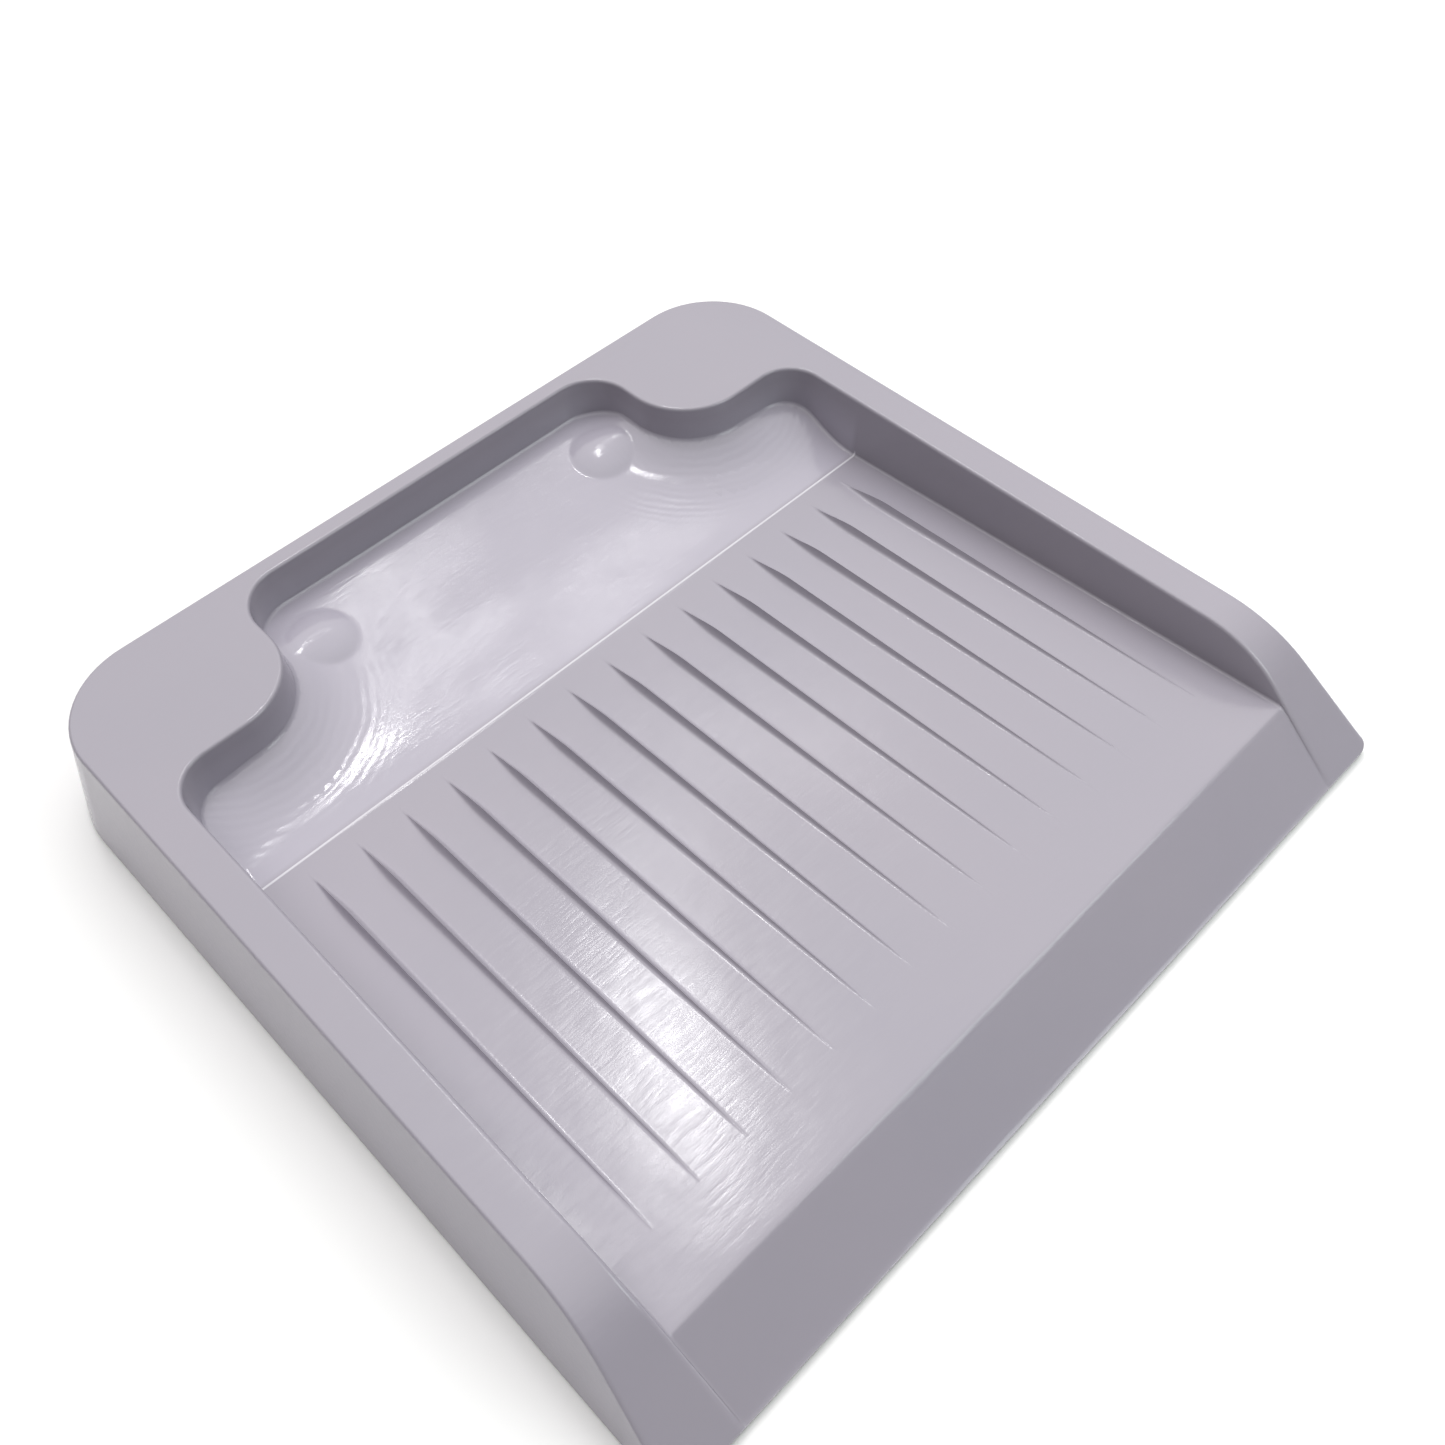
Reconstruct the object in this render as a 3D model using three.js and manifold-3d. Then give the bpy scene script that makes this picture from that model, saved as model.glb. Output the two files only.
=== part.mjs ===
// Paint roller tray: one injection-moulded body on four push-in rubber feet. Millimetres, +Z up.
// +X is the tray's right when seen from the crest, +Y is the rear (the well), -Y is the front lip.
import * as THREE from 'three';
import { mergeVertices } from 'three/addons/utils/BufferGeometryUtils.js';
import ManifoldModule from 'manifold-3d';

// Outer skirt and rim
const RIM_TOP_Z = 32;
const SKIRT_FOOT_Z = 1;
const HALF_WIDTH = 127;
const HALF_LENGTH = 124;
const SKIRT_FLARE = 6.5;
const REAR_CORNER_R = 27;
const FRONT_CORNER_R = 4;
const WALL = 2;

// Side rims sweep down to the front edge
const RIM_SWEEP_FRONT_Z = 2.6;
const RIM_SWEEP_SLOPE = 0.83;
const RIM_SWEEP_R = 40;

// Inner walls, seen from above: side walls, two corner blocks and the narrower rear pocket
const INNER_HALF_WIDTH = 115.3;
const BLOCK_FRONT_Y = 76.5;
const POCKET_HALF_WIDTH = 68.5;
const POCKET_REAR_Y = 118.2;
const SIDE_CORNER_R = 12;
const BLOCK_CORNER_R = 22;
const POCKET_CORNER_R = 14;
const INNER_DRAFT = 0.075;

// Floor, seen from the side: curved well, ramp, crest and front lip
const CREASE_Y = 45.3;
const CREASE_Z = 11.4;
const WELL_SLOPE = 0.02;
const WELL_CURVE = 0.00125;
const CREST_Y = -109.6;
const CREST_Z = 18.5;
const LIP_FRONT_Z = 2;
const FRONT_FOOT_Y = -HALF_LENGTH - SKIRT_FLARE;

// Ribs on the ramp
const RIB_COUNT = 15;
const RIB_PITCH = 14.5;
const RIB_THICKNESS = 1.3;
const RIB_HEIGHT = 2.4;
const RIB_REAR_Y = 40.8;
const RIB_PEAK_Y = 20.8;
const RIB_FRONT_Y = -91.2;

// Domes on the well floor
const DOME_X = 53.8;
const DOME_Y = 99.8;
const DOME_R = 10.3;
const DOME_HEIGHT = 2.4;

// Feet and the posts that hold them
const FIT_GAP = 0.3;
const FRONT_FOOT_X = 95;
const FRONT_FOOT_POST_Y = -88;
const POST_R = 7;
const POST_BORE_R = 4.5;
const POST_FOOT_Z = 2.6;
const POST_BORE_TOP_Z = 11;
const FOOT_PAD_R = 8;
const FOOT_STEM_TOP_Z = 9.6;
const FEET = [
  ['foot_rear_left', -DOME_X, DOME_Y],
  ['foot_rear_right', DOME_X, DOME_Y],
  ['foot_front_left', -FRONT_FOOT_X, FRONT_FOOT_POST_Y],
  ['foot_front_right', FRONT_FOOT_X, FRONT_FOOT_POST_Y],
];

const wasm = await ManifoldModule();
wasm.setup();

function toSolid(geometry) {
  geometry.deleteAttribute('normal');
  geometry.deleteAttribute('uv');
  const welded = mergeVertices(geometry, 1e-4);
  return new wasm.Manifold(new wasm.Mesh({
    numProp: 3,
    vertProperties: new Float32Array(welded.attributes.position.array),
    triVerts: new Uint32Array(welded.index.array),
  }));
}

function toMesh(name, solid, material) {
  const data = solid.getMesh();
  const indexed = new THREE.BufferGeometry();
  indexed.setAttribute('position', new THREE.BufferAttribute(data.vertProperties, 3));
  indexed.setIndex(new THREE.BufferAttribute(data.triVerts, 1));
  const geometry = indexed.toNonIndexed();
  geometry.computeVertexNormals();
  const mesh = new THREE.Mesh(geometry, material);
  mesh.name = name;
  return mesh;
}

// Solid between two outlines that have the same number of points
function loft(lower, lowerZ, upper, upperZ) {
  const count = lower.length;
  const positions = [];
  lower.forEach((p) => positions.push(p.x, p.y, lowerZ));
  upper.forEach((p) => positions.push(p.x, p.y, upperZ));
  const index = [];
  for (let i = 0; i < count; i += 1) {
    const j = (i + 1) % count;
    index.push(i, j, count + j);
    index.push(i, count + j, count + i);
  }
  THREE.ShapeUtils.triangulateShape(lower, []).forEach(([a, b, c]) => {
    index.push(a, c, b);
  });
  THREE.ShapeUtils.triangulateShape(upper, []).forEach(([a, b, c]) => {
    index.push(count + a, count + b, count + c);
  });
  const geometry = new THREE.BufferGeometry();
  geometry.setAttribute('position', new THREE.Float32BufferAttribute(positions, 3));
  geometry.setIndex(index);
  return toSolid(geometry);
}

// Solid of a side profile, points given as (y, z), carried across the tray
function profileSolid(points, halfWidth) {
  const shape = new THREE.Shape(points.map(([y, z]) => new THREE.Vector2(y, z)));
  const geometry = new THREE.ExtrudeGeometry(shape, { depth: 2 * halfWidth, bevelEnabled: false });
  geometry.applyMatrix4(new THREE.Matrix4().makeBasis(
    new THREE.Vector3(0, 1, 0),
    new THREE.Vector3(0, 0, 1),
    new THREE.Vector3(1, 0, 0),
  ));
  geometry.translate(-halfWidth, 0, 0);
  return toSolid(geometry);
}

function outlinePoints(path) {
  const points = path.getPoints(10);
  const first = points[0];
  return points.filter((p, i) => i === 0
    || (p.distanceTo(points[i - 1]) > 1e-3 && p.distanceTo(first) > 1e-3));
}

function outerOutline(grow) {
  const side = HALF_WIDTH + grow;
  const rear = HALF_LENGTH + grow;
  const front = -HALF_LENGTH - grow;
  const rearR = REAR_CORNER_R + grow;
  const path = new THREE.Shape();
  path.moveTo(-side + FRONT_CORNER_R, front);
  path.absarc(side - FRONT_CORNER_R, front + FRONT_CORNER_R, FRONT_CORNER_R, -Math.PI / 2, 0);
  path.absarc(side - rearR, rear - rearR, rearR, 0, Math.PI / 2);
  path.absarc(-side + rearR, rear - rearR, rearR, Math.PI / 2, Math.PI);
  path.absarc(-side + FRONT_CORNER_R, front + FRONT_CORNER_R, FRONT_CORNER_R, Math.PI,
    1.5 * Math.PI);
  return outlinePoints(path);
}

function innerOutline(grow) {
  const side = INNER_HALF_WIDTH + grow;
  const blockY = BLOCK_FRONT_Y + grow;
  const pocket = POCKET_HALF_WIDTH + grow;
  const rear = POCKET_REAR_Y + grow;
  const sideR = SIDE_CORNER_R + grow;
  const blockR = BLOCK_CORNER_R - grow;
  const pocketR = POCKET_CORNER_R + grow;
  const quarter = Math.PI / 2;
  const path = new THREE.Shape();
  path.moveTo(-side, FRONT_FOOT_Y - 20);
  path.lineTo(side, FRONT_FOOT_Y - 20);
  path.absarc(side - sideR, blockY - sideR, sideR, 0, quarter);
  path.absarc(pocket + blockR, blockY + blockR, blockR, 3 * quarter, 2 * quarter, true);
  path.absarc(pocket - pocketR, rear - pocketR, pocketR, 0, quarter);
  path.absarc(-pocket + pocketR, rear - pocketR, pocketR, quarter, 2 * quarter);
  path.absarc(-pocket - blockR, blockY + blockR, blockR, 0, -quarter, true);
  path.absarc(-side + sideR, blockY - sideR, sideR, quarter, 2 * quarter);
  return outlinePoints(path);
}

// Rim line from the rear to the front edge, lowered by drop
function rimProfile(drop) {
  const angle = Math.atan(RIM_SWEEP_SLOPE);
  const kneeY = FRONT_FOOT_Y + (RIM_TOP_Z - RIM_SWEEP_FRONT_Z) / RIM_SWEEP_SLOPE;
  const arcY = kneeY + RIM_SWEEP_R * Math.tan(angle / 2);
  const points = [[HALF_LENGTH + 20, RIM_TOP_Z - drop]];
  for (let i = 0; i <= 8; i += 1) {
    const a = (angle * i) / 8;
    const radius = RIM_SWEEP_R - drop;
    points.push([arcY - radius * Math.sin(a), RIM_TOP_Z - RIM_SWEEP_R + radius * Math.cos(a)]);
  }
  const lineDrop = drop / Math.cos(angle);
  points.push([FRONT_FOOT_Y - 20, RIM_SWEEP_FRONT_Z - lineDrop - 20 * RIM_SWEEP_SLOPE]);
  return points;
}

function rampZ(y) {
  return CREASE_Z + ((CREST_Z - CREASE_Z) * (CREASE_Y - y)) / (CREASE_Y - CREST_Y);
}

function wellZ(y) {
  const back = y - CREASE_Y;
  return CREASE_Z + WELL_SLOPE * back + WELL_CURVE * back * back;
}

// Floor line from the rear to beyond the front edge, lowered by drop
function floorProfile(drop) {
  const slope = (CREST_Z - LIP_FRONT_Z) / (CREST_Y - FRONT_FOOT_Y);
  const points = [];
  for (let i = 10; i >= 0; i -= 1) {
    const y = CREASE_Y + (i * (POCKET_REAR_Y + 12 - CREASE_Y)) / 10;
    points.push([y, wellZ(y) - drop]);
  }
  points.push([CREST_Y, CREST_Z - drop]);
  points.push([FRONT_FOOT_Y - 20, LIP_FRONT_Z - 20 * slope - drop * Math.hypot(1, slope)]);
  return points;
}

// Everything inside the walls and above the floor, grown outward and downward by grow
function openCavity(grow) {
  const depth = RIM_TOP_Z + 20;
  const walls = loft(innerOutline(grow - INNER_DRAFT * depth), -20,
    innerOutline(grow + INNER_DRAFT), RIM_TOP_Z + 1);
  const floor = floorProfile(grow);
  const above = profileSolid([...floor, [floor[floor.length - 1][0], 80], [floor[0][0], 80]], 200);
  return walls.intersect(above);
}

// The skirt and rim as a full block, shrunk inward and downward by shrink
function outerBlock(shrink) {
  const lower = outerOutline(SKIRT_FLARE - shrink);
  const upper = outerOutline(-shrink);
  const block = loft(lower, SKIRT_FOOT_Z, upper, RIM_TOP_Z);
  const rim = rimProfile(shrink);
  const below = profileSolid([...rim, [rim[rim.length - 1][0], -80], [rim[0][0], -80]], 200);
  return block.intersect(below);
}

function cylinder(radius, x, y, lowerZ, upperZ, sides) {
  const geometry = new THREE.CylinderGeometry(radius, radius, upperZ - lowerZ, sides);
  geometry.rotateX(Math.PI / 2);
  geometry.translate(x, y, (lowerZ + upperZ) / 2);
  return toSolid(geometry);
}

function rib(x) {
  const sink = 0.8;
  const points = [
    [RIB_REAR_Y, rampZ(RIB_REAR_Y) - sink],
    [RIB_REAR_Y, rampZ(RIB_REAR_Y)],
    [RIB_PEAK_Y, rampZ(RIB_PEAK_Y) + RIB_HEIGHT],
    [RIB_FRONT_Y, rampZ(RIB_FRONT_Y)],
    [RIB_FRONT_Y, rampZ(RIB_FRONT_Y) - sink],
  ];
  return profileSolid(points, RIB_THICKNESS / 2).translate([x, 0, 0]);
}

function dome(x) {
  const sphereR = (DOME_R * DOME_R + DOME_HEIGHT * DOME_HEIGHT) / (2 * DOME_HEIGHT);
  const tilt = Math.atan(WELL_SLOPE + 2 * WELL_CURVE * (DOME_Y - CREASE_Y));
  const profile = [new THREE.Vector2(0, -1.2), new THREE.Vector2(DOME_R, -1.2)];
  const edge = Math.asin(DOME_R / sphereR);
  for (let i = 0; i <= 6; i += 1) {
    const a = edge * (1 - i / 6);
    const z = sphereR * Math.cos(a) - (sphereR - DOME_HEIGHT);
    profile.push(new THREE.Vector2(sphereR * Math.sin(a), z));
  }
  const geometry = new THREE.LatheGeometry(profile, 32);
  geometry.rotateX(Math.PI / 2 + tilt);
  geometry.translate(x, DOME_Y, wellZ(DOME_Y));
  return toSolid(geometry);
}

function post(x, y) {
  const stud = cylinder(POST_R, x, y, POST_FOOT_Z, RIM_TOP_Z, 32);
  return stud.subtract(openCavity(0.4));
}

function trayBody() {
  let body = outerBlock(0).subtract(openCavity(0));
  body = body.subtract(outerBlock(WALL).subtract(openCavity(WALL)));
  for (let i = 0; i < RIB_COUNT; i += 1) {
    body = body.add(rib((i - (RIB_COUNT - 1) / 2) * RIB_PITCH));
  }
  body = body.add(dome(-DOME_X)).add(dome(DOME_X));
  FEET.forEach(([, x, y]) => {
    body = body.add(post(x, y));
    body = body.subtract(cylinder(POST_BORE_R, x, y, 0, POST_BORE_TOP_Z, 32));
  });
  return body;
}

function footPlug(x, y) {
  const padTop = POST_FOOT_Z - FIT_GAP;
  const stemR = POST_BORE_R - FIT_GAP;
  const profile = [
    [0, 0],
    [FOOT_PAD_R - 0.8, 0],
    [FOOT_PAD_R, 0.8],
    [FOOT_PAD_R, padTop],
    [stemR, padTop],
    [stemR, FOOT_STEM_TOP_Z - 0.8],
    [stemR - 0.8, FOOT_STEM_TOP_Z],
    [0, FOOT_STEM_TOP_Z],
  ].map(([r, z]) => new THREE.Vector2(r, z));
  const geometry = new THREE.LatheGeometry(profile, 32);
  geometry.rotateX(Math.PI / 2);
  geometry.translate(x, y, 0);
  return toSolid(geometry);
}

const plastic = new THREE.MeshStandardMaterial({ color: 0xbab5bf, roughness: 0.35, metalness: 0 });
const rubber = new THREE.MeshStandardMaterial({ color: 0x2b2b2d, roughness: 0.85, metalness: 0 });

const tray = new THREE.Group();
tray.name = 'paint_roller_tray';
tray.add(toMesh('tray_body', trayBody(), plastic));
FEET.forEach(([name, x, y]) => tray.add(toMesh(name, footPlug(x, y), rubber)));

export default tray;
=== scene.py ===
import math

import bmesh
import bpy
from mathutils import Matrix, Vector
from mathutils.bvhtree import BVHTree
from mathutils.kdtree import KDTree


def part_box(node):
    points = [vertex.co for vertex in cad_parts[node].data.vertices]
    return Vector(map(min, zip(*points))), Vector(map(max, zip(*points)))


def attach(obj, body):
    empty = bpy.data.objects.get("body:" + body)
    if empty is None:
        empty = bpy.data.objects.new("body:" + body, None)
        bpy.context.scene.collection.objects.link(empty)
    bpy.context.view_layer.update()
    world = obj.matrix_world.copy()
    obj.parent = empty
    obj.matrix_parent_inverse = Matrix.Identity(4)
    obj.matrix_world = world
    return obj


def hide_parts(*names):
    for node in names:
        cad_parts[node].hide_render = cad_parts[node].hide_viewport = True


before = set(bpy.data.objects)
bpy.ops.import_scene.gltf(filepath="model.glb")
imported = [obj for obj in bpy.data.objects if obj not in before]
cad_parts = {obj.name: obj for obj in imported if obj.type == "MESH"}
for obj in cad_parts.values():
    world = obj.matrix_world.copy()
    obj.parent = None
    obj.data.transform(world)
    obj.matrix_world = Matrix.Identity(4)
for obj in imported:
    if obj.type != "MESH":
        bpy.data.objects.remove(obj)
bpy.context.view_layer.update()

# ---------------------------------------------------------------------------
# Tray body, skirt and rim. The whole tray is one thin-walled injection moulding:
# a skirt that flares to the foot carries a flat rim, which sweeps down at the front.
# ---------------------------------------------------------------------------
MM = 0.001
body_low, body_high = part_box("tray_body")
RIM_Z = body_high.z
FOOT_Z = body_low.z
FRONT_Y = body_low.y
FLARE = 6.5 * MM
HALF_X = body_high.x - FLARE
HALF_Y = body_high.y - FLARE
REAR_CORNER_R = 27 * MM
FRONT_CORNER_R = 4 * MM
FRONT_CORNER_CUTS = 6
WALL = 2 * MM
EDGE_R = 1.1 * MM
EDGE_STEPS = 5
CORNER_STEPS = 16
RUN_OUT = 30 * MM
SWEEP_STEP = 2 * MM

SWEEP_SLOPE = 0.83
SWEEP_FRONT_Z = 2.6 * MM
SWEEP_R = 40 * MM
SWEEP_ANGLE = math.atan(SWEEP_SLOPE)
SWEEP_KNEE_Y = FRONT_Y + (RIM_Z - SWEEP_FRONT_Z) / SWEEP_SLOPE
SWEEP_REAR_Y = SWEEP_KNEE_Y + SWEEP_R * math.tan(SWEEP_ANGLE / 2)
SWEEP_LOW_Y = SWEEP_REAR_Y - SWEEP_R * math.sin(SWEEP_ANGLE)


def rounded_face(bm, corners, z):
    """A flat face from (x, y, radius) corners, each rounded by its radius."""
    verts = [bm.verts.new((x, y, z)) for x, y, _ in corners]
    face = bm.faces.new(verts)
    for vert, (_, _, radius) in zip(verts, corners):
        if radius:
            bmesh.ops.bevel(bm, geom=[vert], offset=radius, offset_type="OFFSET",
                            affect="VERTICES", segments=CORNER_STEPS, profile=0.5, material=-1)
    return next(f for f in bm.faces if verts[0] in f.verts[:])


def skirt_corners(grow):
    """Outline of the skirt from above. It runs out beyond the front edge, to be cut later."""
    x, rear, front = HALF_X + grow, HALF_Y + grow, FRONT_Y - RUN_OUT
    radius = REAR_CORNER_R + grow
    return [(-x, front, 0), (x, front, 0), (x, rear, radius), (-x, rear, radius)]


def skirt_grow(z):
    return FLARE * (RIM_Z - z) / (RIM_Z - FOOT_Z)


def rim_z(y):
    """Height of the side rims: level, then an arc, then a straight run to the front."""
    if y >= SWEEP_REAR_Y:
        return RIM_Z
    if y > SWEEP_LOW_Y:
        return RIM_Z - SWEEP_R + math.sqrt(SWEEP_R ** 2 - (SWEEP_REAR_Y - y) ** 2)
    return SWEEP_FRONT_Z + (y - FRONT_Y) * SWEEP_SLOPE


# Inner walls of the body: straight sides, two corner blocks with convex corners,
# and the narrower rear pocket between them. All lean outwards to leave the mould.
INNER_X = 115.3 * MM
BLOCK_Y = 76.5 * MM
POCKET_X = 68.5 * MM
POCKET_Y = 118.2 * MM
SIDE_CORNER_R = 12 * MM
BLOCK_CORNER_R = 22 * MM
POCKET_CORNER_R = 14 * MM
DRAFT = 0.075


def wall_corners(grow):
    x, block, front = INNER_X + grow, BLOCK_Y + grow, FRONT_Y - RUN_OUT + 5 * MM
    pocket, rear = POCKET_X + grow, POCKET_Y + grow
    side_r, block_r, pocket_r = SIDE_CORNER_R + grow, BLOCK_CORNER_R - grow, POCKET_CORNER_R + grow
    return [
        (-x, front, 0), (x, front, 0), (x, block, side_r),
        (pocket, block, block_r), (pocket, rear, pocket_r),
        (-pocket, rear, pocket_r), (-pocket, block, block_r), (-x, block, side_r),
    ]


# Floor of the body: a dished well at the rear, a crease, the ramp up to the crest,
# and the lip, whose foot rolls out level.
CREASE_Y = 45.3 * MM
CREASE_Z = 11.4 * MM
WELL_SLOPE = 0.005
WELL_BENDS = ((0, 8 * MM, 0.04), (19 * MM, 20 * MM, 0.105))
CREASE_BLEND = 0.03 * MM
CREST_BLEND = 0.22 * MM
ROLL_BLEND = 0.3 * MM
CREST_Y = -109.6 * MM
CREST_Z = 18.5 * MM
LIP_SLOPE = 0.79
LIP_ROLL_Z = 2.1 * MM
BASIN_SIDE_RISE = 6.5 * MM
BASIN_BLOCK_RISE = 1.7 * MM
BASIN_REACH = 15 * MM
BASIN_FADE = 2.0
BASIN_START = 5 * MM
CLIMB_LENGTH = 22 * MM
BLOCK_BLEND = 13 * MM
GUIDE_CELL = 2 * MM
GUIDE_CELLS_X = 122
GUIDE_CELLS_Y = 44
GUIDE_LEAD = 6 * MM
GUIDE_START = 9 * MM
GUIDE_SMOOTHINGS = 10
BOWL_CURVE = 0.82
BOWL_FLAT_X = 25 * MM
BOWL_START = 7 * MM
BASE_FILLET = 0.8 * MM
FILLET_RINGS = (0.12, 0.25, 0.63)
WALL_LEAN_REACH = 4 * MM
SEAM_RISE = 0.18 * MM
SEAM_HALF = 0.6 * MM
WELL_STEP = 2 * MM
WELL_ROWS = range(24, 60)


def smooth(t):
    t = min(max(t, 0), 1)
    return t * t * (3 - 2 * t)


def soft_max(a, b, blend):
    return (a + b) / 2 + math.sqrt((a - b) ** 2 / 4 + blend ** 2)


def well_z(y):
    """The well floor behind the crease: each bend adds its slope over its length."""
    back = y - CREASE_Y
    z = CREASE_Z + WELL_SLOPE * back
    for start, length, slope in WELL_BENDS:
        into = min(max(back - start, 0), length)
        z += slope * (into ** 2 / (2 * length) + max(back - start - length, 0))
    return z


def floor_z(y):
    """Floor line along the tray, with small radii where its stretches meet."""
    ramp = CREASE_Z + (CREST_Z - CREASE_Z) * (CREASE_Y - y) / (CREASE_Y - CREST_Y)
    lip = CREST_Z + (y - CREST_Y) * LIP_SLOPE
    behind_crest = soft_max(ramp, well_z(y), CREASE_BLEND)
    above_foot = -soft_max(-behind_crest, -lip, CREST_BLEND)
    return soft_max(above_foot, LIP_ROLL_Z, ROLL_BLEND)


def seam_rise(y):
    """The fine raised line that two mould inserts leave along the crease."""
    return SEAM_RISE * max(1 - abs(y - CREASE_Y) / SEAM_HALF, 0)


def bowl_rise(x, y):
    """The well floor's slow climb towards both ends of the tray, level along the crease."""
    out = max(abs(x) - BOWL_FLAT_X, 0)
    return BOWL_CURVE * out ** 2 * smooth((y - CREASE_Y - BOWL_START) / CLIMB_LENGTH)


def basin_rise(x, y):
    """How far the well floor has climbed where it meets the wall at (x, y)."""
    x = abs(x)
    side_front = INNER_X - SIDE_CORNER_R
    if x > side_front:
        return BASIN_SIDE_RISE * smooth((y - CREASE_Y - BASIN_START) / CLIMB_LENGTH)
    climb = BASIN_SIDE_RISE + BASIN_BLOCK_RISE * smooth((side_front - x) / BLOCK_BLEND)
    to_rear = max(y - BLOCK_Y, 0) / (POCKET_Y - BLOCK_Y)
    return climb * smooth((1 - to_rear) * 2.6) * (1 - 0.55 * to_rear)


# Ribs on the ramp and domes in the pocket, moulded with the floor. Each rib is highest
# just in front of the crease and dies out before the crest. Its sides are hollow curves
# that meet in a narrow top.
RIB_COUNT = 15
RIB_PITCH = 14.5 * MM
RIB_HALF = 1.9 * MM
RIB_TAPER = 0.3
RIB_HOLLOW = 2.4
RIB_HEIGHT = 2.4 * MM
RIB_REAR_Y = 40.8 * MM
RIB_PEAK_Y = 20.8 * MM
RIB_FRONT_Y = -91.2 * MM
RIB_STEPS = (0, 0.1, 0.22, 0.36, 0.52, 0.74, 1.0)
DOME_X = 53.8 * MM
DOME_Y = 99.8 * MM
DOME_R = 10.3 * MM
DOME_HEIGHT = 2.4 * MM
DOME_BLEND = 0.06 * MM
DOME_STEP = WELL_STEP / 3
DOME_CUTS = 45


def rib_places():
    return [(i - RIB_COUNT // 2) * RIB_PITCH for i in range(RIB_COUNT)]


def rib_rise(x, y):
    if not RIB_FRONT_Y < y < RIB_REAR_Y:
        return 0.0
    if y > RIB_PEAK_Y:
        height = RIB_HEIGHT * smooth((RIB_REAR_Y - y) / (RIB_REAR_Y - RIB_PEAK_Y))
    else:
        height = RIB_HEIGHT * (y - RIB_FRONT_Y) / (RIB_PEAK_Y - RIB_FRONT_Y)
    nearest = round(x / RIB_PITCH) * RIB_PITCH
    if abs(nearest) > RIB_PITCH * (RIB_COUNT // 2) + MM:
        return 0.0
    half = RIB_HALF * (RIB_TAPER + (1 - RIB_TAPER) * height / RIB_HEIGHT)
    return height * max(1 - abs(x - nearest) / half, 0) ** RIB_HOLLOW


def dome_rise(x, y):
    away = math.hypot(abs(x) - DOME_X, y - DOME_Y) / DOME_R
    if away >= 1.3:
        return 0.0
    return max(soft_max(DOME_HEIGHT * (1 - away ** 2), 0, DOME_BLEND) - DOME_BLEND, 0)


def cut(bm, faces, place, direction):
    """Cuts the given faces along a plane, and keeps both sides."""
    edges = {e for f in faces for e in f.edges}
    verts = {v for f in faces for v in f.verts}
    bmesh.ops.bisect_plane(bm, geom=list(faces) + list(edges) + list(verts), dist=1e-7,
                           plane_co=place, plane_no=direction)


def cut_rows(bm, choose, rows):
    for y in rows:
        cut(bm, choose(), (0, y, 0), (0, 1, 0))


def cut_columns(bm, choose, columns):
    for x in columns:
        cut(bm, choose(), (x, 0, 0), (1, 0, 0))


def steps(low, high, pitch):
    count = max(round((high - low) / pitch), 1)
    return [low + (high - low) * i / count for i in range(count + 1)]


def inset_in_steps(bm, faces, widths_and_rises):
    """Insets a region again and again, and returns the rings of faces this leaves."""
    rings = []
    for width, rise in widths_and_rises:
        made = bmesh.ops.inset_region(bm, faces=faces, thickness=width, depth=rise,
                                      use_even_offset=True, use_boundary=True)
        rings += made["faces"]
    return rings


def quarter_round(radius, count):
    """Inset widths and rises that turn a vertical wall over to a level top."""
    angles = [math.pi / 2 * i / count for i in range(count + 1)]
    return [(radius * (math.cos(a) - math.cos(b)), radius * (math.sin(b) - math.sin(a)))
            for a, b in zip(angles, angles[1:])]


def plain_skin(offset, edge_r):
    """Skirt, rim, walls and a level floor as one open surface, before the front sweep.
    offset moves the surface into the moulding, away from its show side."""
    bm = bmesh.new()
    is_floor = bm.faces.layers.int.new("floor")
    top_z = RIM_Z - offset - edge_r
    base_z = CREASE_Z - offset
    top_grow = skirt_grow(RIM_Z - edge_r) - offset
    skirt_top = rounded_face(bm, skirt_corners(top_grow), top_z)
    skirt_foot = rounded_face(bm, skirt_corners(FLARE - offset), FOOT_Z)
    wall_top = rounded_face(bm, wall_corners(offset - DRAFT * edge_r), top_z)
    floor = rounded_face(bm, wall_corners(offset - DRAFT * (RIM_Z - base_z)), base_z)
    floor[is_floor] = 1
    rim_edges = list(skirt_top.edges) + list(wall_top.edges)
    bmesh.ops.bridge_loops(bm, edges=list(skirt_top.edges) + list(skirt_foot.edges))
    bmesh.ops.bridge_loops(bm, edges=list(wall_top.edges) + list(floor.edges))
    bmesh.ops.delete(bm, geom=[skirt_top, skirt_foot, wall_top], context="FACES_ONLY")
    filled = bmesh.ops.triangle_fill(bm, use_beauty=True, use_dissolve=False, edges=rim_edges)
    rim = [g for g in filled["geom"] if isinstance(g, bmesh.types.BMFace)]
    bmesh.ops.recalc_face_normals(bm, faces=bm.faces)
    if floor.normal.z < 0:
        bmesh.ops.reverse_faces(bm, faces=bm.faces)
    inset_in_steps(bm, rim, quarter_round(edge_r, EDGE_STEPS))
    for ring in inset_in_steps(bm, [floor], [(BASE_FILLET * part, 0) for part in FILLET_RINGS]):
        ring[is_floor] = 1
    return bm, is_floor


def floor_faces(bm, is_floor, low_y, high_y, near_x=None, reach=0):
    found = []
    for f in bm.faces:
        if f[is_floor]:
            c = f.calc_center_median()
            if low_y < c.y < high_y and (near_x is None or abs(c.x - near_x) < reach):
                found.append(f)
    return found


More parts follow.
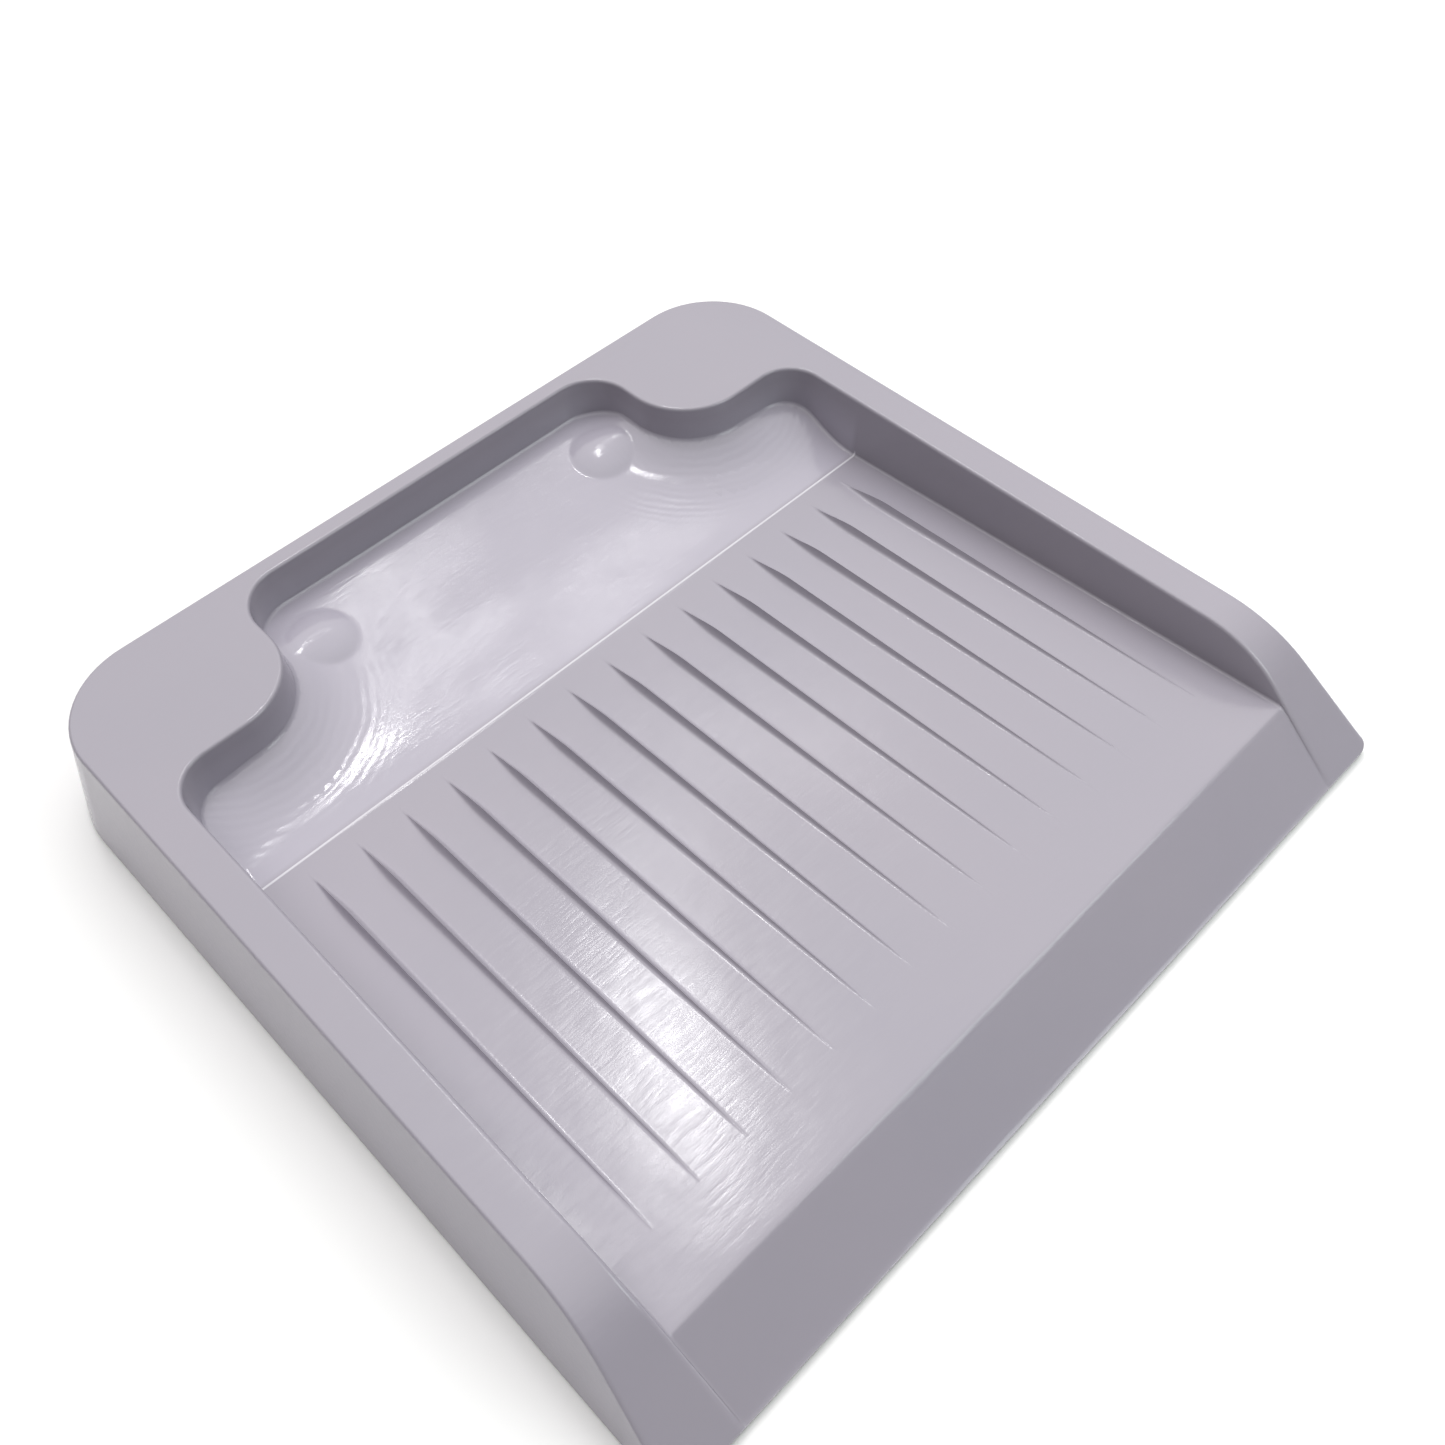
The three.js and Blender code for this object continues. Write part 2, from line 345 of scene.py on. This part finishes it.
def cut_round_dome(bm, is_floor, dome_x):
    """Fine cuts both ways round a dome, in line with the coarser cuts of the well."""
    around = DOME_R * 1.25

    def near_dome():
        return floor_faces(bm, is_floor, DOME_Y - around, DOME_Y + around, dome_x, around)

    first = round((dome_x - around) / WELL_STEP - 1) * WELL_STEP
    cut_columns(bm, near_dome, [first + i * DOME_STEP for i in range(DOME_CUTS)])
    first = round((DOME_Y - around) / WELL_STEP - 1) * WELL_STEP
    cut_rows(bm, near_dome, [first + i * DOME_STEP for i in range(DOME_CUTS)])


def divide_floor(bm, is_floor, show):
    """Cuts the floor where its line bends, and finely enough for the well, ribs and domes."""
    far = FRONT_Y - RUN_OUT
    near_edges = [e * MM for e in (-2.4, -1.2, -0.6, -0.25, 0, 0.25, 0.6, 1.2, 2.4)]
    rows = [CREASE_Y + e for e in near_edges] + [CREST_Y + e for e in near_edges]
    rows += steps(FRONT_Y - MM, FRONT_Y + 3 * MM, 0.4 * MM) + [RIB_FRONT_Y, RIB_REAR_Y]
    cut_rows(bm, lambda: floor_faces(bm, is_floor, far, 1), rows)
    if show:
        for place in rib_places():
            columns = [place + side * RIB_HALF * s for s in RIB_STEPS for side in (-1, 1)]
            cut_columns(bm, lambda: floor_faces(bm, is_floor, RIB_FRONT_Y, RIB_REAR_Y), columns)
        rise_rows = steps(RIB_PEAK_Y, RIB_REAR_Y, 1.6 * MM)
        fall_rows = steps(RIB_FRONT_Y, RIB_PEAK_Y, 7 * MM)
        cut_rows(bm, lambda: floor_faces(bm, is_floor, RIB_FRONT_Y, RIB_REAR_Y), rise_rows + fall_rows)
    pitch = WELL_STEP if show else 2 * WELL_STEP
    columns = [i * pitch for i in range(-round(INNER_X / pitch), round(INNER_X / pitch) + 1)]
    cut_columns(bm, lambda: floor_faces(bm, is_floor, CREASE_Y, 1), columns)
    cut_rows(bm, lambda: floor_faces(bm, is_floor, CREASE_Y, 1), [i * pitch for i in WELL_ROWS])
    if show:
        for dome_x in (-DOME_X, DOME_X):
            cut_round_dome(bm, is_floor, dome_x)


def basin_guide(tree, outward):
    """A coarse, smoothed sheet that gives the climb of the well floor towards its walls."""
    guide = bmesh.new()
    width, length = GUIDE_CELLS_X * GUIDE_CELL, GUIDE_CELLS_Y * GUIDE_CELL
    bmesh.ops.create_grid(guide, x_segments=GUIDE_CELLS_X, y_segments=GUIDE_CELLS_Y, size=0.5)
    bmesh.ops.scale(guide, vec=(width, length, 1), verts=guide.verts)
    bmesh.ops.translate(guide, vec=(0, CREASE_Y - GUIDE_LEAD + length / 2, 0), verts=guide.verts)
    for v in guide.verts:
        wall_point, i, _ = tree.find((v.co.x, v.co.y, CREASE_Z))
        gap = max((wall_point.xy - v.co.xy).dot(outward[i].xy), 0)
        fade = max(1 - gap / BASIN_REACH, 0) ** BASIN_FADE
        more = basin_rise(wall_point.x, wall_point.y) - bowl_rise(wall_point.x, wall_point.y)
        v.co.z = bowl_rise(v.co.x, v.co.y) + more * fade * smooth((v.co.y - CREASE_Y) / GUIDE_START)
    for _ in range(GUIDE_SMOOTHINGS):
        bmesh.ops.smooth_vert(guide, verts=guide.verts, factor=0.5, use_axis_z=True)
    sheet = BVHTree.FromBMesh(guide)
    guide.free()
    return sheet


def shape_floor(bm, is_floor, offset, show):
    """Lifts the level floor to its real heights, and keeps its edge on the leaning walls."""
    base_z = CREASE_Z - offset
    floor_verts = [v for v in bm.verts if any(f[is_floor] for f in v.link_faces)]
    edge_verts = [v for v in floor_verts if not all(f[is_floor] for f in v.link_faces)]
    tree = KDTree(len(edge_verts))
    outward = []
    for i, v in enumerate(edge_verts):
        lean = Vector((0, 0, 0))
        for f in v.link_faces:
            if not f[is_floor]:
                lean -= f.normal
        lean.z = 0
        outward.append(lean.normalized())
        tree.insert(v.co, i)
    tree.balance()
    basin = basin_guide(tree, outward)
    for v in floor_verts:
        wall_point, i, _ = tree.find(v.co)
        out = outward[i]
        gap = max((wall_point - v.co).dot(out), 0)
        drop = offset * (math.hypot(1, LIP_SLOPE) if v.co.y < CREST_Y else 1)
        v.co.z = floor_z(v.co.y) - drop
        if v.co.y > CREASE_Y:
            v.co.z += basin.ray_cast(Vector((v.co.x, v.co.y, 1)), Vector((0, 0, -1)))[0].z
        step_up = min(max(rim_z(v.co.y) - floor_z(v.co.y), 0) / (3 * MM), 1)
        lift = DRAFT * (v.co.z - base_z) * max(1 - gap / WALL_LEAN_REACH, 0)
        if show:
            v.co.z += rib_rise(v.co.x, v.co.y) + dome_rise(v.co.x, v.co.y) + seam_rise(v.co.y)
            v.co.z += BASE_FILLET * step_up * max(1 - gap / BASE_FILLET, 0) ** 2
        v.co += out * lift


def sweep_rim(bm, is_floor, offset, edge_r):
    """Lowers the side rims to the front, and slides them along the leaning skirt and walls."""
    rim_low = RIM_Z - offset - edge_r * 1.01
    for v in bm.verts:
        if v.co.z < rim_low or v.co.y > SWEEP_REAR_Y:
            continue
        fall = RIM_Z - rim_z(v.co.y)
        side = math.copysign(1, v.co.x)
        across = min(max((abs(v.co.x) - INNER_X) / (HALF_X - INNER_X), 0), 1)
        shift = across * skirt_grow(RIM_Z - fall) - (1 - across) * DRAFT * fall
        deeper = offset * (math.hypot(1, SWEEP_SLOPE) - 1) * min(fall / (8 * MM), 1)
        v.co.x += side * shift
        v.co.z -= fall + deeper
        v.co.z = max(v.co.z, floor_z(v.co.y) - offset * math.hypot(1, LIP_SLOPE) + 0.05 * MM)


def skin(offset, edge_r, show):
    """One side of the moulding: the show side, or the plainer side under it."""
    bm, is_floor = plain_skin(offset, edge_r)
    divide_floor(bm, is_floor, show)
    cut_rows(bm, lambda: bm.faces[:], steps(FRONT_Y, SWEEP_REAR_Y, SWEEP_STEP))
    bm.normal_update()
    shape_floor(bm, is_floor, offset, show)
    sweep_rim(bm, is_floor, offset, edge_r)
    return bm


def trim(bm, place, direction):
    """Cuts everything along a plane, and removes what lies beyond it."""
    bmesh.ops.bisect_plane(bm, geom=bm.faces[:] + bm.edges[:] + bm.verts[:], dist=1e-7,
                           plane_co=place, plane_no=direction, clear_outer=True)


show_side = skin(0, EDGE_R, True)
trim(show_side, (0, FRONT_Y, 0), (0, -1, 0))
for side in (-1, 1):
    centre = Vector((side * (body_high.x - FRONT_CORNER_R), FRONT_Y + FRONT_CORNER_R, 0))
    for i in range(1, FRONT_CORNER_CUTS):
        turn = math.pi / 2 * i / FRONT_CORNER_CUTS
        facing = Vector((side * math.sin(turn), -math.cos(turn), 0))
        trim(show_side, centre + facing * FRONT_CORNER_R, facing)
front_edges = [e for e in show_side.edges
               if e.is_boundary and max(v.co.z for v in e.verts) > FOOT_Z + 1e-6]
down = bmesh.ops.extrude_edge_only(show_side, edges=front_edges)
for item in down["geom"]:
    if isinstance(item, bmesh.types.BMVert):
        item.co.z = FOOT_Z
bmesh.ops.remove_doubles(show_side, verts=show_side.verts[:], dist=1e-6)

under_side = skin(WALL, EDGE_R / 2, False)
trim(under_side, (0, FRONT_Y + WALL, 0), (0, -1, 0))
trim(under_side, (0, 0, FOOT_Z), (0, 0, -1))
bmesh.ops.reverse_faces(under_side, faces=under_side.faces[:])

body_mesh = bpy.data.meshes.new("tray_body_moulding")
under_side.to_mesh(body_mesh)
show_side.from_mesh(body_mesh)
# This fill covers the whole opening under the tray and leaves the skirt's foot open.
# A true moulding is closed only between the outer and inner lines of the foot.
foot_edges = [e for e in show_side.edges if e.is_boundary]
bmesh.ops.triangle_fill(show_side, use_beauty=True, use_dissolve=False, edges=foot_edges)
bmesh.ops.recalc_face_normals(show_side, faces=show_side.faces[:])
show_side.to_mesh(body_mesh)
show_side.free()
under_side.free()
tray_body = bpy.data.objects.new("tray_body_moulding", body_mesh)
bpy.context.scene.collection.objects.link(tray_body)

# Posts for the feet, moulded under the floor: four short tubes, open at the foot.
POST_R = 7 * MM
POST_BORE_R = 4.5 * MM
POST_FOOT_Z = 2.6 * MM
POST_BORE_TOP_Z = 11 * MM
POST_SINK = 0.9 * MM
POST_EDGE = 0.4 * MM
FRONT_FOOT_X = 95 * MM
FRONT_FOOT_Y = -88 * MM
FEET = {
    "foot_rear_left": (-DOME_X, DOME_Y),
    "foot_rear_right": (DOME_X, DOME_Y),
    "foot_front_left": (-FRONT_FOOT_X, FRONT_FOOT_Y),
    "foot_front_right": (FRONT_FOOT_X, FRONT_FOOT_Y),
}


def turned(profile, x, y, turns=48):
    """A mesh turned about an upright axis at (x, y) from (radius, z) points."""
    bm = bmesh.new()
    verts = [bm.verts.new((radius, 0, z)) for radius, z in profile]
    edges = [bm.edges.new(pair) for pair in zip(verts, verts[1:])]
    bmesh.ops.spin(bm, geom=verts + edges, cent=(0, 0, 0), axis=(0, 0, 1), angle=math.tau,
                   steps=turns, use_merge=True, use_duplicate=False)
    bmesh.ops.remove_doubles(bm, verts=bm.verts[:], dist=1e-6)
    bmesh.ops.recalc_face_normals(bm, faces=bm.faces[:])
    bmesh.ops.translate(bm, verts=bm.verts[:], vec=(x, y, 0))
    mesh = bpy.data.meshes.new("turned")
    bm.to_mesh(mesh)
    bm.free()
    return mesh


def post_mesh():
    """The four posts as one mesh, each from inside the floor down to its foot."""
    bm = bmesh.new()
    for x, y in FEET.values():
        top = floor_z(y) - POST_SINK
        profile = [(0, top), (POST_R, top),
                   (POST_R, POST_FOOT_Z + POST_EDGE), (POST_R - POST_EDGE, POST_FOOT_Z),
                   (POST_BORE_R, POST_FOOT_Z), (POST_BORE_R, POST_BORE_TOP_Z), (0, POST_BORE_TOP_Z)]
        one_post = turned(profile, x, y)
        bm.from_mesh(one_post)
        bpy.data.meshes.remove(one_post)
    mesh = bpy.data.meshes.new("posts")
    bm.to_mesh(mesh)
    bm.free()
    return mesh


posts = bpy.data.objects.new("posts", post_mesh())
bpy.context.scene.collection.objects.link(posts)
joined = tray_body.modifiers.new("posts_joined", "BOOLEAN")
joined.operation = "UNION"
joined.object = posts
joined.solver = "EXACT"
bpy.context.view_layer.update()
whole = bpy.data.meshes.new_from_object(tray_body.evaluated_get(bpy.context.evaluated_depsgraph_get()))
tray_body.modifiers.remove(joined)
tray_body.data = whole
bpy.data.objects.remove(posts)
SHARP_ANGLE = math.radians(38)
for polygon in whole.polygons:
    polygon.use_smooth = True
whole.set_sharp_from_angle(angle=SHARP_ANGLE)
even = tray_body.modifiers.new("even_shading", "WEIGHTED_NORMAL")
even.keep_sharp = True


# Finish of the tray body: pale lavender-grey plastic, satin on the rim and ramp, polished in the well,
# with the faint ripples and fine marks that a machined mould leaves.
# The well's base colour is painted lighter and a bright line is painted along the crease; both stand in
# for light.
def new_node(nodes, kind, **inputs):
    node = nodes.new(kind)
    for name, value in inputs.items():
        node.inputs[name.replace("_", " ")].default_value = value
    return node


def multiplied(nodes, links, first, second):
    """The product of two values."""
    node = nodes.new("ShaderNodeMath")
    node.operation = "MULTIPLY"
    links.new(first, node.inputs[0])
    links.new(second, node.inputs[1])
    return node.outputs["Value"]


def mould_marks_group():
    """Height of a mould's waviness and of its fine marks, which run along X."""
    group = bpy.data.node_groups.new("mould_marks", "ShaderNodeTree")
    group.interface.new_socket("Vector", in_out="INPUT", socket_type="NodeSocketVector")
    group.interface.new_socket("Wave Scale", in_out="INPUT", socket_type="NodeSocketFloat")
    group.interface.new_socket("Mark Scale", in_out="INPUT", socket_type="NodeSocketFloat")
    group.interface.new_socket("Waves", in_out="OUTPUT", socket_type="NodeSocketFloat")
    group.interface.new_socket("Marks", in_out="OUTPUT", socket_type="NodeSocketFloat")
    group.interface.new_socket("Grain", in_out="OUTPUT", socket_type="NodeSocketFloat")
    nodes, links = group.nodes, group.links
    given = nodes.new("NodeGroupInput")
    made = nodes.new("NodeGroupOutput")
    waves = new_node(nodes, "ShaderNodeTexNoise", Detail=1.5, Roughness=0.45)
    stretch = new_node(nodes, "ShaderNodeMapping", Scale=(0.16, 1, 1))
    marks = new_node(nodes, "ShaderNodeTexNoise", Detail=4.0, Roughness=0.6)
    grain = new_node(nodes, "ShaderNodeTexNoise", Scale=2600.0, Detail=2.0)
    links.new(given.outputs["Vector"], waves.inputs["Vector"])
    links.new(given.outputs["Wave Scale"], waves.inputs["Scale"])
    links.new(given.outputs["Vector"], stretch.inputs["Vector"])
    links.new(stretch.outputs["Vector"], marks.inputs["Vector"])
    links.new(given.outputs["Mark Scale"], marks.inputs["Scale"])
    links.new(given.outputs["Vector"], grain.inputs["Vector"])
    links.new(waves.outputs["Fac"], made.inputs["Waves"])
    links.new(marks.outputs["Fac"], made.inputs["Marks"])
    links.new(grain.outputs["Fac"], made.inputs["Grain"])
    return group


def absolute(nodes, links, value):
    node = nodes.new("ShaderNodeMath")
    node.operation = "ABSOLUTE"
    links.new(value, node.inputs[0])
    return node.outputs["Value"]


def mapped(nodes, links, value, **limits):
    """A value carried from one range to another, and held at its ends."""
    node = new_node(nodes, "ShaderNodeMapRange", **limits)
    links.new(value, node.inputs["Value"])
    return node.outputs["Result"]


def mixed(nodes, links, factor, second):
    """A mix of two colours by a factor. Its first colour is set or linked afterwards."""
    node = nodes.new("ShaderNodeMix")
    node.data_type = "RGBA"
    node.inputs["B"].default_value = second
    links.new(factor, node.inputs["Factor"])
    return node


def bumped(nodes, links, height, strength, distance, normal=None):
    node = new_node(nodes, "ShaderNodeBump", Strength=strength, Distance=distance)
    links.new(height, node.inputs["Height"])
    if normal:
        links.new(normal, node.inputs["Normal"])
    return node.outputs["Normal"]


def inside_walls(nodes, links, apart, either_end):
    """Mask of what lies between the inner walls and below the rim's edge."""
    y, z = apart.outputs["Y"], apart.outputs["Z"]
    sides = mapped(nodes, links, either_end, From_Min=INNER_X + 2 * MM, From_Max=INNER_X + MM)
    rear = mapped(nodes, links, y, From_Min=POCKET_Y + 2 * MM, From_Max=POCKET_Y + MM)
    below_rim = mapped(nodes, links, z, From_Min=28 * MM, From_Max=18 * MM)
    return multiplied(nodes, links, multiplied(nodes, links, sides, rear), below_rim)


def painted_seam_highlight(nodes, links, apart, inside):
    """Mask of a painted highlight: a bright line painted along the seam at the crease, on the floor only.
    """
    from_crease = nodes.new("ShaderNodeMath")
    from_crease.operation = "SUBTRACT"
    from_crease.inputs[1].default_value = CREASE_Y
    links.new(apart.outputs["Y"], from_crease.inputs[0])
    off_crease = absolute(nodes, links, from_crease.outputs["Value"])
    line = mapped(nodes, links, off_crease, From_Min=0.45 * MM, From_Max=0.2 * MM, To_Max=0.75)
    on_floor = mapped(nodes, links, apart.outputs["Z"],
                      From_Min=CREASE_Z + 2 * MM, From_Max=CREASE_Z + MM)
    return multiplied(nodes, links, multiplied(nodes, links, inside, line), on_floor)


def swirl_height(nodes, links, apart, either_end, in_well):
    """Height of the rings that a tool left round each corner block, ahead of the domes."""
    folded = nodes.new("ShaderNodeCombineXYZ")
    links.new(either_end, folded.inputs["X"])
    links.new(apart.outputs["Y"], folded.inputs["Y"])
    block_centre = (POCKET_X + BLOCK_CORNER_R, BLOCK_Y + BLOCK_CORNER_R, 0)
    from_block = new_node(nodes, "ShaderNodeMapping", Location=[-c for c in block_centre])
    links.new(folded.outputs["Vector"], from_block.inputs["Vector"])
    swirls = new_node(nodes, "ShaderNodeTexWave", Scale=120.0, Distortion=3.0, Detail=2.0)
    swirls.wave_type = "RINGS"
    swirls.rings_direction = "Z"
    links.new(from_block.outputs["Vector"], swirls.inputs["Vector"])
    reach = nodes.new("ShaderNodeVectorMath")
    reach.operation = "LENGTH"
    links.new(from_block.outputs["Vector"], reach.inputs[0])
    near_block = mapped(nodes, links, reach.outputs["Value"], From_Min=54 * MM, From_Max=36 * MM)
    ahead_of_domes = mapped(nodes, links, apart.outputs["Y"],
                            From_Min=DOME_Y - DOME_R - 3 * MM, From_Max=DOME_Y - DOME_R - 13 * MM)
    area = multiplied(nodes, links, near_block, in_well)
    area = multiplied(nodes, links, area, ahead_of_domes)
    return multiplied(nodes, links, swirls.outputs["Fac"], area)


def tray_plastic_material():
    material = bpy.data.materials.new("tray_plastic")
    material.use_nodes = True
    nodes, links = material.node_tree.nodes, material.node_tree.links
    shader = nodes["Principled BSDF"]
    place = nodes.new("ShaderNodeTexCoord")
    marks = nodes.new("ShaderNodeGroup")
    marks.node_tree = mould_marks_group()
    marks.inputs["Wave Scale"].default_value = 70.0
    marks.inputs["Mark Scale"].default_value = 800.0
    links.new(place.outputs["Object"], marks.inputs["Vector"])

    apart = nodes.new("ShaderNodeSeparateXYZ")
    links.new(place.outputs["Object"], apart.inputs["Vector"])
    either_end = absolute(nodes, links, apart.outputs["X"])
    inside = inside_walls(nodes, links, apart, either_end)
    behind_crease = mapped(nodes, links, apart.outputs["Y"],
                           From_Min=CREASE_Y, From_Max=CREASE_Y + 2 * MM)
    in_well = multiplied(nodes, links, inside, behind_crease)

    tone = new_node(nodes, "ShaderNodeTexNoise", Scale=11.0, Detail=3.0)
    links.new(place.outputs["Object"], tone.inputs["Vector"])
    satin = mixed(nodes, links, tone.outputs["Fac"], (0.384, 0.353, 0.404, 1))
    satin.inputs["A"].default_value = (0.338, 0.322, 0.378, 1)
    # Painted light: the base colour inside the well is mixed lighter, standing in for the light that falls
    # there.
    well_painted_lighter = mixed(nodes, links, in_well, (0.440, 0.414, 0.484, 1))
    links.new(satin.outputs["Result"], well_painted_lighter.inputs["A"])
    # Painted highlight: a pale line along the crease stands in for the light that the seam's edge catches.
    seam_highlight_mask = painted_seam_highlight(nodes, links, apart, inside)
    seam_highlight_mix = mixed(nodes, links, seam_highlight_mask, (0.80, 0.78, 0.83, 1))
    links.new(well_painted_lighter.outputs["Result"], seam_highlight_mix.inputs["A"])
    links.new(seam_highlight_mix.outputs["Result"], shader.inputs["Base Color"])

    base_gloss = mapped(nodes, links, in_well, To_Min=0.165, To_Max=0.12)
    fine_gloss = mapped(nodes, links, marks.outputs["Marks"],
                        From_Min=0.3, From_Max=0.7, To_Min=-0.04, To_Max=0.05)
    rough = nodes.new("ShaderNodeMath")
    links.new(base_gloss, rough.inputs[0])
    links.new(fine_gloss, rough.inputs[1])
    links.new(rough.outputs["Value"], shader.inputs["Roughness"])

    normal = bumped(nodes, links, marks.outputs["Waves"], 0.30, 0.0004)
    normal = bumped(nodes, links, marks.outputs["Marks"], 0.8, 0.00005, normal)
    normal = bumped(nodes, links, marks.outputs["Grain"], 0.15, 0.00002, normal)
    swirls = swirl_height(nodes, links, apart, either_end, in_well)
    normal = bumped(nodes, links, swirls, 1.0, 0.000035, normal)
    links.new(normal, shader.inputs["Normal"])
    return material


whole.materials.clear()
whole.materials.append(tray_plastic_material())
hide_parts("tray_body")
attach(tray_body, "root")

# ---------------------------------------------------------------------------
# Feet: four soft rubber plugs, moulded in one piece each. The stem is pressed up into a
# post, and the round pad below it keeps the tray from sliding.
# ---------------------------------------------------------------------------
STEM_R = 4.2 * MM
PAD_TOP_Z = 2.3 * MM
PAD_EDGE = 0.8 * MM
STEM_LEAD = 0.6 * MM


def foot_rubber_material():
    material = bpy.data.materials.new("foot_rubber")
    material.use_nodes = True
    nodes, links = material.node_tree.nodes, material.node_tree.links
    shader = nodes["Principled BSDF"]
    place = nodes.new("ShaderNodeTexCoord")
    marks = nodes.new("ShaderNodeGroup")
    marks.node_tree = bpy.data.node_groups["mould_marks"]
    marks.inputs["Wave Scale"].default_value = 400.0
    marks.inputs["Mark Scale"].default_value = 900.0
    links.new(place.outputs["Object"], marks.inputs["Vector"])
    dusty = mixed(nodes, links, marks.outputs["Waves"], (0.050, 0.049, 0.050, 1))
    dusty.inputs["A"].default_value = (0.020, 0.020, 0.022, 1)
    links.new(dusty.outputs["Result"], shader.inputs["Base Color"])
    matt = mapped(nodes, links, marks.outputs["Marks"],
                  From_Min=0.3, From_Max=0.7, To_Min=0.62, To_Max=0.82)
    links.new(matt, shader.inputs["Roughness"])
    grain = bumped(nodes, links, marks.outputs["Grain"], 0.4, 0.00005)
    links.new(grain, shader.inputs["Normal"])
    return material


rubber = foot_rubber_material()
for foot_name, (x, y) in FEET.items():
    foot_low, foot_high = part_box(foot_name)
    pad_r = (foot_high.x - foot_low.x) / 2
    profile = [(0, foot_low.z), (pad_r - PAD_EDGE, foot_low.z),
               (pad_r - PAD_EDGE * 0.3, foot_low.z + PAD_EDGE * 0.3),
               (pad_r, foot_low.z + PAD_EDGE), (pad_r, PAD_TOP_Z), (STEM_R, PAD_TOP_Z),
               (STEM_R, foot_high.z - STEM_LEAD), (STEM_R - STEM_LEAD, foot_high.z), (0, foot_high.z)]
    foot_mesh = turned(profile, x, y)
    foot_mesh.name = foot_name + "_plug"
    for polygon in foot_mesh.polygons:
        polygon.use_smooth = True
    foot_mesh.set_sharp_from_angle(angle=SHARP_ANGLE)
    foot_mesh.materials.append(rubber)
    foot = bpy.data.objects.new(foot_name + "_plug", foot_mesh)
    bpy.context.scene.collection.objects.link(foot)
    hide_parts(foot_name)
    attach(foot, "root")

# ---------------------------------------------------------------------------
# Camera, pale floor and soft light. The room is brightest behind and above the tray,
# and a long narrow lamp hangs behind it to the right.
# ---------------------------------------------------------------------------
CAMERA_PLACE = Vector((-0.1545, -0.1767, 0.3293))
CAMERA_AIM = Vector((0.0079, -0.0014, 0.012))
CAMERA_ROLL = math.radians(-2.24)

camera_data = bpy.data.cameras.new("camera")
camera_data.sensor_width = 36
camera_data.lens = 35.65
camera = bpy.data.objects.new("camera", camera_data)
turn = (CAMERA_AIM - CAMERA_PLACE).to_track_quat("-Z", "Y").to_matrix().to_4x4()
camera.matrix_world = Matrix.Translation(CAMERA_PLACE) @ turn @ Matrix.Rotation(CAMERA_ROLL, 4, "Z")
bpy.context.scene.collection.objects.link(camera)
bpy.context.scene.camera = camera

floor_bm = bmesh.new()
bmesh.ops.create_grid(floor_bm, x_segments=1, y_segments=1, size=4)
floor_mesh = bpy.data.meshes.new("studio_floor")
floor_bm.to_mesh(floor_mesh)
floor_bm.free()
studio_floor = bpy.data.objects.new("studio_floor", floor_mesh)
bpy.context.scene.collection.objects.link(studio_floor)
floor_material = bpy.data.materials.new("studio_floor")
floor_material.use_nodes = True
floor_shader = floor_material.node_tree.nodes["Principled BSDF"]
floor_shader.inputs["Base Color"].default_value = (0.96, 0.96, 0.96, 1)
floor_shader.inputs["Roughness"].default_value = 0.9
floor_shader.inputs["Specular IOR Level"].default_value = 0.1
floor_mesh.materials.append(floor_material)


def direction(azimuth, elevation):
    """Unit vector, azimuth in degrees from +Y towards +X, elevation above the floor."""
    a, e = math.radians(azimuth), math.radians(elevation)
    return Vector((math.sin(a) * math.cos(e), math.cos(a) * math.cos(e), math.sin(e)))


world = bpy.data.worlds.new("studio")
world.use_nodes = True
nodes, links = world.node_tree.nodes, world.node_tree.links
sky = nodes["Background"]
sky.inputs["Color"].default_value = (1.0, 0.99, 0.98, 1)
toward = nodes.new("ShaderNodeTexCoord")
facing = nodes.new("ShaderNodeVectorMath")
facing.operation = "DOT_PRODUCT"
facing.inputs[1].default_value = direction(30, 70)
levels = new_node(nodes, "ShaderNodeMapRange", From_Min=0.35, From_Max=1.0, To_Min=0.03, To_Max=1.96)
levels.interpolation_type = "SMOOTHSTEP"
links.new(toward.outputs["Generated"], facing.inputs[0])
links.new(facing.outputs["Value"], levels.inputs["Value"])
links.new(levels.outputs["Result"], sky.inputs["Strength"])
bpy.context.scene.world = world


def lamp(name, azimuth, elevation, width, length, watts, away=1.5):
    """A rectangular lamp facing the tray, with its long side towards the zenith."""
    data = bpy.data.lights.new(name, "AREA")
    data.shape = "RECTANGLE"
    data.size, data.size_y, data.energy = width, length, watts
    light = bpy.data.objects.new(name, data)
    place = direction(azimuth, elevation) * away
    light.matrix_world = Matrix.Translation(place) @ (-place).to_track_quat("-Z", "Y").to_matrix().to_4x4()
    bpy.context.scene.collection.objects.link(light)
    return light


lamp("long_lamp", 28, 65.5, 0.04, 0.31, 2.2)
lamp("rear_lamp", 31.5, 55.5, 0.12, 0.03, 0.20)
lamp("side_lamp", 42, 50.5, 0.28, 0.02, 0.28)
soft_lamp = lamp("soft_lamp", 150, 42, 0.35, 0.35, 1.2, 0.75)
soft_lamp.data.color = (0.90, 1.0, 0.97)
bpy.context.scene.view_settings.view_transform = "Standard"
